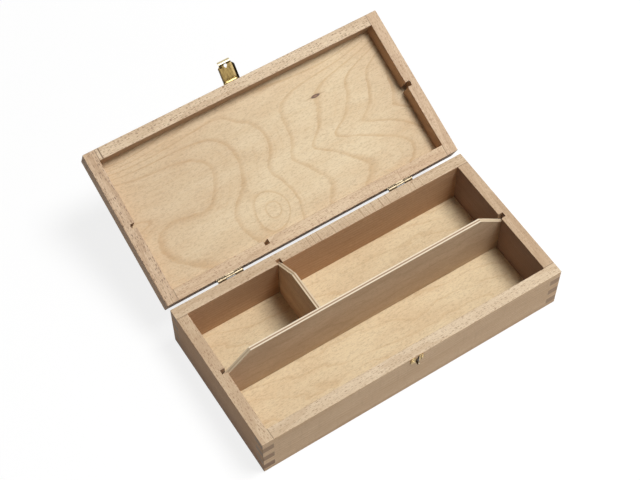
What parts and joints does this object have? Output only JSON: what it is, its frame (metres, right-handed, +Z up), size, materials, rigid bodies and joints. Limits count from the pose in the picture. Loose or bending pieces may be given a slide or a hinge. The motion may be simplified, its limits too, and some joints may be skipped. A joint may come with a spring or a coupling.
{
  "type": "brush box with hinged lid",
  "caption": "Long wooden box with finger-jointed corners, a hinged lid with a brass hasp, and a lift-out divider insert.",
  "frame": {"origin": "centre of the face that the base stands on", "axes": "+Z up, +X along the length towards the right end as seen from the hasp side, +Y from the front to the hinges"},
  "size_m": [0.25, 0.2582, 0.0993],
  "materials": {
    "beech": "planed and sanded, unvarnished",
    "birch_plywood": "sanded rotary-cut veneer",
    "divider_plywood": "sanded three-layer plywood",
    "brass": "bright plated sheet"
  },
  "bodies": {
    "base": {"base_front_wall": "beech", "base_back_wall": "beech", "base_left_wall": "beech", "base_right_wall": "beech", "base_bottom_panel": "birch_plywood", "keeper_plate": "brass", "keeper_nails": "brass", "hinge_base_screws": "brass", "left_hinge_base_leaf": "brass", "right_hinge_base_leaf": "brass", "left_hinge_pin": "brass", "right_hinge_pin": "brass"},
    "lid": {"lid_front_rail": "beech", "lid_back_rail": "beech", "lid_left_rail": "beech", "lid_right_rail": "beech", "lid_panel": "birch_plywood", "hinge_lid_screws": "brass", "left_hinge_lid_leaf": "brass", "right_hinge_lid_leaf": "brass", "hasp_plate": "brass", "hasp_nails": "brass"},
    "hasp_flap": {"hasp_flap": "brass", "hasp_pin": "brass"},
    "divider_insert": {"long_divider": "divider_plywood", "short_divider": "divider_plywood"}
  },
  "joints": [
    {"name": "lid_hinge", "type": "hinge", "parent": "base", "child": "lid", "pos_m": [0, 0.0634, 0.0422], "axis": [-1, 0, 0], "range_deg": [-156.8, 32]},
    {"name": "hasp_hinge", "type": "hinge", "parent": "lid", "child": "hasp_flap", "pos_m": [-0.0001, 0.18158, 0.08796], "axis": [-1, 0, 0], "range_deg": [-62, 100]},
    {"name": "insert_lift", "type": "slide", "parent": "base", "child": "divider_insert", "axis": [0, 0, 1], "range_m": [0, 0.06]}
  ]
}
